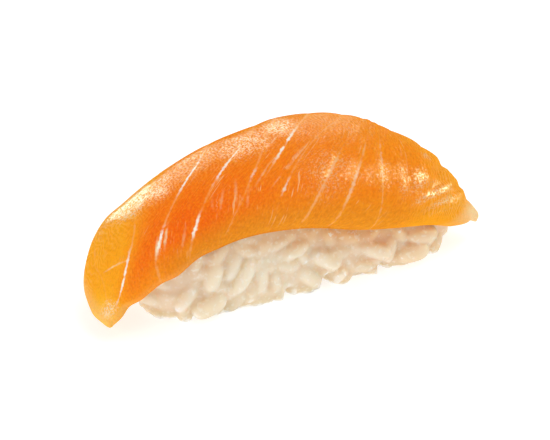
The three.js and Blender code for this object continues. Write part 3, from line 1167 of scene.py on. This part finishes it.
class SliceRoom:
    """The space that the rice keeps out of: the slice's, down to a gap under it."""

    reach = 30.0
    ray = Vector((0.13, 0.07, -1))
    most_hits = 20
    columns = 60
    rows = 40

    def __init__(self, slice_: SalmonSlice, gap: float) -> None:
        """Measures the space.

        Args:
            slice_: the slice.
            gap: the distance kept under it.
        """
        self.gap = gap
        bm = closed_grid(self.columns, self.rows)
        above = [f for f in bm.faces if any(v.co.z < -0.5 for v in f.verts)]
        a, b, side = np.array([v.co for v in bm.verts]).T
        lift = np.where(side < -0.5, self.reach, -gap)
        points = slice_.underside(a, b) + square_to(*slice_.tangents(a, b)) * lift[:, None]
        for vert, point in zip(bm.verts, points.tolist()):
            vert.co = point
        self.skin = BVHTree.FromBMesh(bm)
        bmesh.ops.delete(bm, geom=above, context="FACES")
        self.floor = BVHTree.FromBMesh(bm)
        bm.free()

    def holds(self, point: Vector) -> bool:
        """Counts how often a ray from a point crosses the space's skin.

        Args:
            point: the point.

        Returns:
            Whether it is inside.
        """
        hits, start = 0, point.copy()
        while hits < self.most_hits and (hit := self.skin.ray_cast(start, self.ray)[0]) is not None:
            hits, start = hits + 1, hit + self.ray * 1e-3
        return hits % 2 == 1

    def roof(self, x: float, y: float) -> float:
        """Gives the height of the slice's underside over a point, and 99 beside the slice."""
        hit = self.floor.ray_cast(Vector((x, y, -5)), Vector((0, 0, 1)))[0]
        return hit.z + self.gap if hit is not None else 99.0


# ---- The rice


class Stream:
    """A repeatable stream of numbers, the same as the solid's."""

    factor, term, span = 1664525, 1013904223, 2**32

    def __init__(self, seed: int) -> None:
        """Starts the stream."""
        self.state = seed

    def between(self, low: float, high: float) -> float:
        """Draws the next number from a range."""
        self.state = (self.state * self.factor + self.term) % self.span
        return low + (high - low) * self.state / self.span


@dataclass(frozen=True)
class Grain:
    """One grain: its middle, its long axis and its shares of the usual sizes."""

    middle: Vector
    axis: Vector
    size: Vector


@dataclass(frozen=True)
class ShownGrain:
    """A grain that lies outermost on the front side."""

    x: float
    z: float
    length: float
    width: float
    lean: float
    proud: float


@dataclass(frozen=True)
class GrainRule:
    """How rows of grains are laid round the block, from a seed. A pair is the range of a draw.

    stagger moves every other row and shift each grain along it, in spacings. Deep grains lie
    between the others, and only the slice is in their way.
    """

    seed: int
    heights: tuple[float, ...]
    spacing: float
    stagger: float
    shift: Pair
    proud: Pair
    width: Pair
    length: Pair
    lift: Pair | None = None
    tries: int = 1
    deep: bool = False


@dataclass(frozen=True)
class Dent:
    """A hollow between two grains at the foot of the front side."""

    x: float
    half_width: float
    depth: float
    height: float


@dataclass(frozen=True)
class RiceBlock:
    """The block: a pressed core with grains all round, under the slice."""

    half_length: float = 34.9
    half_width: float = 10.9
    middle: Pair = (2.8, -0.2)
    waist: float = 6.4
    crown: float = 32.0
    foot: float = 4.0
    plan_power: float = 3.2
    side_power: float = 3.0
    inset: float = 1.1
    core_base: float = -2.0
    core_top: float = 24.5
    core_proud: float = 0.65
    core_sides: int = 120
    core_cuts: int = 16
    row_steps: int = 200
    grain_length: float = 6.9
    grain_width: float = 3.2
    plump: float = 0.94
    bow: float = 0.25
    tilt: float = 0.25
    drop: float = 0.5
    shrink: float = 0.1
    clear: float = 2.8
    deep_clear: float = 1.2
    slice_gap: float = 0.3
    gap: float = 0.12
    voxel: float = 0.31
    soften: int = 4
    front_face: Pair = (5.0, 7.5)
    tone_seed: int = 20
    marks: int = 7
    # Middle and half width along the block, and reach from the slice, of the painted orange shade and bounce
    # light.
    tint_middle: Pair = (9.0, 16.0)
    tint_depth: Pair = (0.5, 6.5)
    shown: tuple[ShownGrain, ...] = tuple(ShownGrain(*row) for row in (
        (-30.4, 4.6, 7.6, 3.6, -24, 0.4), (-28.9, 8.3, 6.6, 3.2, -28, 0.1),
        (-25.2, 4.9, 6.6, 3.0, 52, 0.7), (-21.0, 2.6, 7.3, 3.7, 20, 1.5),
        (-20.1, 8.9, 6.6, 3.8, 77, 0.8), (-13.7, 7.5, 8.0, 3.1, 60, 0.8),
        (-10.1, 6.2, 7.6, 2.9, 88, 0.4), (-10.2, 12.2, 5.8, 2.8, 58, 0.0),
        (-6.9, 4.4, 6.4, 2.7, 95, 0.1), (-6.2, 12.6, 6.2, 2.8, 19, 0.0),
        (-2.9, 10.4, 6.2, 3.0, 20, 0.7), (0.6, 3.4, 6.9, 3.5, -43, 0.3),
        (4.0, 6.8, 7.4, 3.7, -33, 1.0), (12.2, 2.6, 7.4, 3.2, -12, 0.2),
        (15.6, 5.8, 7.6, 3.5, -26, 1.0), (24.6, 2.7, 7.6, 4.0, 4, 1.5),
        (26.8, 6.2, 7.8, 4.0, -11, 1.1),
    ))
    filler: ShownGrain = ShownGrain(25.5, 8.0, 9.0, 3.4, -13, -0.2)
    rules: tuple[GrainRule, ...] = (
        GrainRule(
            seed=20, heights=(1.5, 4.4, 7.3, 10.2, 13.1, 16.0), spacing=5.1, stagger=0.5,
            shift=(0, 0.5), proud=(-0.6, 0.6), width=(0.8, 1), length=(0.88, 1.08), tries=5,
        ),
        GrainRule(
            seed=21, heights=tuple(2.1 * (k + 0.5) for k in range(8)), spacing=3.6, stagger=0,
            shift=(0, 1), proud=(-0.2, -0.9), width=(0.75, 1), length=(0.8, 1.1), lift=(-0.8, 0.8),
            deep=True,
        ),
    )
    dents: tuple[Dent, ...] = (
        Dent(5.0, 1.1, 5.0, 4.2),
        Dent(17.8, 1.0, 3.0, 3.4),
        Dent(-3.9, 0.9, 2.4, 3.0),
        Dent(11.0, 3.5, 1.0, 3.0),
    )

    def radii(self, z: float) -> Pair:
        """Measures the core.

        Args:
            z: the height.

        Returns:
            Its half length and half width there.
        """
        reach = self.crown - self.waist if z > self.waist else self.waist + self.foot
        share = (1 - (abs(z - self.waist) / reach) ** self.side_power) ** (1 / self.side_power)
        return self.half_length * share - self.inset, self.half_width * share - self.inset

    def outline(self, z: float, t: float, beyond: float = 0.0) -> Vector:
        """Gives a point of the outline that the grains lie on.

        Args:
            z: the height.
            t: the share of the way round.
            beyond: how far outside that outline the point is.

        Returns:
            The point.
        """
        cos, sin = math.cos(2 * math.pi * t), math.sin(2 * math.pi * t)
        long, wide = (radius + beyond for radius in self.radii(z))
        power = 2 / self.plan_power
        x = self.middle[0] + long * math.copysign(abs(cos) ** power, cos)
        y = self.middle[1] + wide * math.copysign(abs(sin) ** power, sin)
        return Vector((x, y, z))

    @cache
    def run(self, z: float) -> Field:
        """Gives the way run along the outline at a height, at even steps of the way round."""
        stops = [self.outline(z, i / self.row_steps) for i in range(self.row_steps + 1)]
        return np.cumsum([0.0] + [(q - p).length for p, q in zip(stops, stops[1:])])

    def laid(self, rule: GrainRule, room: SliceRoom) -> list[Grain]:
        """Lays grains by a rule.

        Args:
            rule: the rule.
            room: the space that they keep out of.

        Returns:
            The grains.
        """
        grains: list[Grain] = []
        stream = Stream(rule.seed)
        for number, height in enumerate(rule.heights):
            count = int(self.run(height)[-1] / rule.spacing)
            for i in range(count):
                start = i + rule.stagger * (number % 2)
                drawn = [self.draw(rule, stream, height, start, count, n) for n in range(rule.tries)]
                grains += [grain for grain in drawn if self.fits(grain, rule, room)][:1]
        return grains

    def draw(
        self, rule: GrainRule, stream: Stream, height: float, start: float, count: int, attempt: int
    ) -> Grain:
        """Draws one try at a grain.

        Args:
            rule: how it is laid.
            stream: the random numbers.
            height: the height of its row.
            start: its number in the row.
            count: the grains in the row.
            attempt: the try's number. Later tries are lower and smaller.

        Returns:
            The grain.
        """
        run = self.run(height)
        share = (start + stream.between(*rule.shift)) / count % 1
        t = float(np.interp(share * run[-1], run, np.linspace(0, 1, len(run))))
        ahead, behind = (self.outline(height, end) for end in (min(t + 1e-4, 1), max(t - 1e-4, 0)))
        tangent = (ahead - behind).normalized()
        out = Vector((tangent.y, -tangent.x, 0))
        turn = stream.between(0, math.pi)
        middle = self.outline(height, t) + out * stream.between(*rule.proud)
        if rule.lift:
            middle.z += stream.between(*rule.lift)
        middle.z -= attempt * self.drop
        axis = tangent * math.cos(turn) + Vector((0, 0, math.sin(turn)))
        axis += out * stream.between(-self.tilt, self.tilt)
        size = Vector((1, stream.between(*rule.width), stream.between(*rule.length)))
        return Grain(middle, axis.normalized(), size * (1 - attempt * self.shrink))

    def fits(self, grain: Grain, rule: GrainRule, room: SliceRoom) -> bool:
        """Tells whether a grain is clear of the slice, and of the shown grains if it isn't deep.

        Args:
            grain: the grain.
            rule: how it is laid.
            room: the slice's space.

        Returns:
            Whether it may stay.
        """
        x, y, z = grain.middle
        if rule.deep:
            reach = grain.axis * self.grain_length / 2 * 0.8 * grain.size.z
            spots = (grain.middle, grain.middle + reach, grain.middle - reach)
            clear = all(room.skin.find_nearest(spot)[3] > self.deep_clear for spot in spots)
        else:
            bm = bmesh.new()
            self.add_grain(bm, grain)
            clear = y > 0 or all(math.hypot(x - s.x, z - s.z) > self.clear for s in self.shown)
            clear = clear and not BVHTree.FromBMesh(bm).overlap(room.skin)
            bm.free()
        return clear and not room.holds(grain.middle)

    def placed(self, shown: ShownGrain) -> Grain:
        """Lays a shown grain on the core's front side.

        Args:
            shown: where it shows.

        Returns:
            The grain.
        """
        long, wide = self.radii(shown.z)
        along = abs((shown.x - self.middle[0]) / long)
        front = self.middle[1] - wide * max(1 - along**self.plan_power, 0) ** (1 / self.plan_power)
        lean = math.radians(shown.lean)
        share = shown.width / self.grain_width
        return Grain(
            Vector((shown.x, front - shown.proud, shown.z)),
            Vector((math.cos(lean), 0, math.sin(lean))),
            Vector((share, share, shown.length / self.grain_length)),
        )

    @cache
    def grain_form(self, fineness: int) -> bpy.types.Mesh:
        """Makes a plump, slightly bowed grain along Z, blunter at one end.

        Args:
            fineness: how often its ball is divided.

        Returns:
            The grain's mesh.
        """
        bm = bmesh.new()
        bmesh.ops.create_icosphere(bm, subdivisions=fineness, radius=1)
        half, radius = self.grain_length / 2, self.grain_width / 2 * self.plump
        for vert in bm.verts:
            x, y, z = vert.co
            flat = math.hypot(x, y)
            wide = 0.0 if flat < 1e-6 else (1 - abs(z) ** 3) ** 0.5 / flat * radius * (1 + 0.06 * z)
            vert.co = (x * wide, y * wide + self.bow * (z * z - 0.4), z * half)
        return to_mesh(bm, "grain_form")

    def add_grain(self, bm: bmesh.types.BMesh, grain: Grain, fineness: int = 1) -> None:
        """Adds a grain.

        Args:
            bm: the mesh it joins.
            grain: where it lies.
            fineness: how often its ball is divided.
        """
        turn = Vector((0, 0, 1)).rotation_difference(grain.axis).to_matrix().to_4x4()
        made = self.grain_form(fineness).copy()
        made.transform(Matrix.Translation(grain.middle) @ turn @ Matrix.Diagonal((*grain.size, 1)))
        bm.from_mesh(made)
        bpy.data.meshes.remove(made)

    def core(self) -> bmesh.types.BMesh:
        """Makes the core, which ends below the rice's underside.

        Returns:
            The core.
        """
        bm = bmesh.new()
        bmesh.ops.create_cone(bm, cap_ends=True, segments=self.core_sides, radius1=1, radius2=1, depth=1)
        upright = [e for e in bm.edges if abs(e.verts[0].co.z - e.verts[1].co.z) > 0.5]
        bmesh.ops.subdivide_edges(bm, edges=upright, cuts=self.core_cuts)
        for vert in bm.verts:
            z = self.core_base + (self.core_top - self.core_base) * (vert.co.z + 0.5)
            t = math.atan2(vert.co.y, vert.co.x) / (2 * math.pi)
            point = self.outline(max(z, 0), t, self.core_proud)
            vert.co = (point.x, point.y, z)
        return bm

    def build(self, slice_: SalmonSlice, material: bpy.types.Material) -> bpy.types.Object:
        """Builds and dresses the rice.

        Args:
            slice_: the slice that lies on it.
            material: its finish.

        Returns:
            The piece.
        """
        room = SliceRoom(slice_, self.slice_gap)
        grains = [self.placed(shown) for shown in self.shown]
        for rule in self.rules:
            grains += self.laid(rule, room)
        grains.append(self.placed(self.filler))
        bm = self.core()
        for grain in grains:
            self.add_grain(bm, grain, 3)
        mesh = self.melt(to_mesh(bm, "rice_raw"))
        points = coordinates(mesh)
        roofs = np.array([room.roof(x, y) for x, y in points[:, :2].tolist()])
        points[:, 2] = np.minimum(points[:, 2], roofs - self.gap)
        set_coordinates(mesh, self.dented(points))
        self.level(mesh)
        self.paint(mesh, grains, slice_)
        set_coordinates(mesh, coordinates(mesh) * MM)
        return piece("sushi_rice", mesh, material)

    def melt(self, raw: bpy.types.Mesh) -> bpy.types.Mesh:
        """Joins core and grains into one soft, sticky skin.

        Args:
            raw: the core and the grains, which cross each other.

        Returns:
            The joined mesh.
        """
        holder = bpy.data.objects.new("rice_raw", raw)
        bpy.context.scene.collection.objects.link(holder)
        join = holder.modifiers.new("join", "REMESH")
        join.mode = "VOXEL"
        join.voxel_size = self.voxel
        soften = holder.modifiers.new("soften", "SMOOTH")
        soften.factor = 0.5
        soften.iterations = self.soften
        ready = holder.evaluated_get(bpy.context.evaluated_depsgraph_get())
        mesh = bpy.data.meshes.new_from_object(ready)
        bpy.data.objects.remove(holder)
        return mesh

    def dented(self, points: Field) -> Field:
        """Presses the hollows into the foot of the front side.

        Args:
            points: the block's vertices, one a row.

        Returns:
            The moved vertices.
        """
        x, y, z = points.T
        pushes = [d.depth * bell(x, d.x, d.half_width) * (1 - ease(z, 0, d.height)) for d in self.dents]
        return np.stack([x, y + np.max(pushes, axis=0) * ease(-y, *self.front_face), z], -1)

    def level(self, mesh: bpy.types.Mesh) -> None:
        """Cuts the block level underneath and closes the cut.

        Args:
            mesh: the block.
        """
        bm = bmesh.new()
        bm.from_mesh(mesh)
        every = bm.verts[:] + bm.edges[:] + bm.faces[:]
        bmesh.ops.bisect_plane(
            bm, geom=every, dist=1e-5, plane_co=(0, 0, 0), plane_no=(0, 0, -1), clear_outer=True
        )
        rim = [e for e in bm.edges if e.is_boundary]
        bmesh.ops.triangle_fill(bm, edges=rim, use_beauty=True, normal=(0, 0, -1))
        bmesh.ops.recalc_face_normals(bm, faces=bm.faces)
        bm.to_mesh(mesh)
        bm.free()

    def bend(self, mesh: bpy.types.Mesh, points: Field) -> Field:
        """Measures how sharply the skin bends.

        Args:
            mesh: the block, in millimetres.
            points: its vertices.

        Returns:
            One over the radius at each vertex: above 0 on a grain, below 0 in a crease.
        """
        ends = np.empty(2 * len(mesh.edges), int)
        mesh.edges.foreach_get("vertices", ends)
        first, second = ends.reshape(-1, 2).T
        normals = np.empty(3 * len(points))
        mesh.vertex_normals.foreach_get("vector", normals)
        normals = normals.reshape(-1, 3)
        count = np.maximum(np.bincount(ends, minlength=len(points)), 1)
        gap = points[second] - points[first]
        turn = np.zeros(len(points))
        for one, way in ((first, gap), (second, -gap)):
            turn += np.bincount(one, (way * normals[one]).sum(1), len(points))
        bend = -4 * turn / count / self.voxel**2
        for _ in range(3):
            spread = np.bincount(first, bend[second], len(points))
            spread += np.bincount(second, bend[first], len(points))
            bend = 0.4 * bend + 0.6 * spread / count
        return bend

    def paint(self, mesh: bpy.types.Mesh, grains: list[Grain], slice_: SalmonSlice) -> None:
        """Stores what the finish reads, as shares from 0 to 1.

        Args:
            mesh: the block, in millimetres.
            grains: its grains.
            slice_: the slice above it.
        """
        tones = np.random.default_rng(self.tone_seed).uniform(0, 1, len(grains) + 1)
        marks = np.linspace(-0.72, 0.72, self.marks)
        axes = [(grain, grain.axis * (self.grain_length / 2 * grain.size.z)) for grain in grains]
        marked = search_tree(np.array([g.middle + half * mark for g, half in axes for mark in marks]))
        a, b = np.meshgrid(np.linspace(-1, 1, 160), np.linspace(-1, 1, 90), indexing="ij")
        sheet = search_tree(slice_.underside(a.ravel(), b.ravel()))
        points = coordinates(mesh)
        bend = self.bend(mesh, points)
        along, _, height = points.T
        near = np.array([sheet.find(point)[2] for point in points.tolist()])
        # Painted orange shade and bounce light from the slice: strongest near it, around x = 9 mm.
        tint = (0.35 + 0.65 * bell(along, *self.tint_middle)) * (1 - ease(near, *self.tint_depth))
        store(mesh, {
            "grain_tone": np.array([tones[marked.find(p)[1] // self.marks] for p in points.tolist()]),
            # Painted shade: creases between grains, and the bottom 2.5 mm.
            "crease": np.maximum(ease(-bend, 0.1, 1.2), 0.8 * (1 - ease(height, 0, 2.5))),
            # Painted contact shadow over the bottom 3.5 mm.
            "foot": 1 - ease(height, 0, 3.5),
            # Painted highlights where the skin bends outwards, on the grains' edges.
            "rim": ease(bend, 0.55, 1.2),
            # Painted orange shade and bounce light from the slice, and a weak warm tint over the right half.
            "near_salmon": np.maximum(tint, 0.2 * ease(along, 0, 12)),
        })


# ---- Studio


class Light(Enum):
    """The studio's lamps."""

    KEY = "key"
    TOP = "top"
    BACK = "back"
    FRONT = "front"
    SIDE = "side"


@dataclass(frozen=True)
class Softbox:
    """A rectangular lamp that faces the piece: the way to it, its distance, sizes and power.

    A mirrored lamp shows only as a glint on wet skin, and any other only lights.
    """

    light: Light
    towards: tuple[float, float, float]
    distance: float
    width: float
    height: float
    power: float
    mirrored: bool = True
    colour: Colour = (1.0, 1.0, 1.0)
    aim: float = 0.015

    def hang(self) -> None:
        """Puts the lamp in the scene."""
        lamp = bpy.data.lights.new(f"{self.light.value}_lamp", "AREA")
        lamp.shape = "RECTANGLE"
        lamp.size = self.width
        lamp.size_y = self.height
        lamp.energy = self.power
        lamp.color = self.colour
        holder = bpy.data.objects.new(lamp.name, lamp)
        holder.visible_glossy = self.mirrored
        holder.visible_diffuse = not self.mirrored
        holder.visible_camera = False
        way = Vector(self.towards).normalized()
        holder.location = way * self.distance + Vector((0, 0, self.aim))
        holder.rotation_euler = way.to_track_quat("Z", "Y").to_euler()
        bpy.context.scene.collection.objects.link(holder)


@dataclass(frozen=True)
class Studio:
    """Camera, lamps and floor."""

    azimuth: float = -28.5
    elevation: float = 29.15
    distance: float = 0.30944
    target: tuple[float, float, float] = (0.0012, -0.0002, 0.0)
    lens: float = 100.0
    film: float = 36.0
    shift: Pair = (-0.0225, 0.0898)
    sky: Colour = (1.0, 0.97, 0.90)
    sky_strength: float = 0.52
    half_floor: float = 3.0
    lamps: tuple[Softbox, ...] = (
        Softbox(Light.KEY, (-0.94, -0.12, 0.32), 0.7, 0.6, 0.5, 1.4, False),
        Softbox(Light.TOP, (0.35, -0.12, 0.92), 0.7, 0.6, 0.5, 2.15, False),
        Softbox(Light.BACK, (0.27, 0.82, 0.48), 0.6, 0.80, 0.68, 10.5, True, (0.92, 0.98, 0.74)),
        Softbox(Light.FRONT, (0.70, -0.41, 0.58), 0.6, 0.34, 0.32, 6.5, True, (1.0, 0.95, 0.50)),
        Softbox(Light.SIDE, (0.96, 0.0, 0.25), 0.6, 0.40, 0.34, 6.5, True, (1.0, 0.95, 0.50)),
    )

    def set_up(self) -> None:
        """Builds the studio."""
        self.place_camera()
        for lamp in self.lamps:
            lamp.hang()
        self.lay_floor()
        scene = bpy.context.scene
        scene.world = bpy.data.worlds.new("studio")
        scene.world.use_nodes = True
        sky = scene.world.node_tree.nodes["Background"]
        sky.inputs["Color"].default_value = (*self.sky, 1.0)
        sky.inputs["Strength"].default_value = self.sky_strength
        scene.view_settings.view_transform = "Standard"
        scene.view_settings.look = "None"

    def place_camera(self) -> None:
        """Sets the camera at the piece's main view."""
        turn, lift = math.radians(self.azimuth), math.radians(self.elevation)
        flat = math.cos(lift)
        back = Vector((math.sin(turn) * flat, -math.cos(turn) * flat, math.sin(lift)))
        camera = bpy.data.cameras.new("camera")
        camera.lens = self.lens
        camera.sensor_width = self.film
        camera.sensor_fit = "HORIZONTAL"
        camera.shift_x, camera.shift_y = self.shift
        camera.clip_start, camera.clip_end = 0.01, 20.0
        holder = bpy.data.objects.new("camera", camera)
        holder.location = Vector(self.target) + back * self.distance
        holder.rotation_euler = back.to_track_quat("Z", "Y").to_euler()
        bpy.context.scene.collection.objects.link(holder)
        bpy.context.scene.camera = holder

    def lay_floor(self) -> None:
        """Lays a wide pale floor that wet skin doesn't mirror."""
        bm = bmesh.new()
        bmesh.ops.create_grid(bm, x_segments=8, y_segments=8, size=self.half_floor)
        floor = piece("floor", to_mesh(bm, "floor"), FloorFinish().material())
        floor.visible_glossy = False


def main() -> None:
    """Builds the studio, the slice and the rice."""
    logging.basicConfig(level=logging.INFO, format="%(name)s: %(message)s")
    Studio().set_up()
    salmon = SalmonSlice()
    fillet = salmon.build(SalmonFinish().material())
    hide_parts("salmon_slice")
    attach(fillet, "root")
    rice = RiceBlock().build(salmon, RiceFinish().material())
    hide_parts("rice")
    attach(rice, "root")


if __name__ == "__main__":
    main()
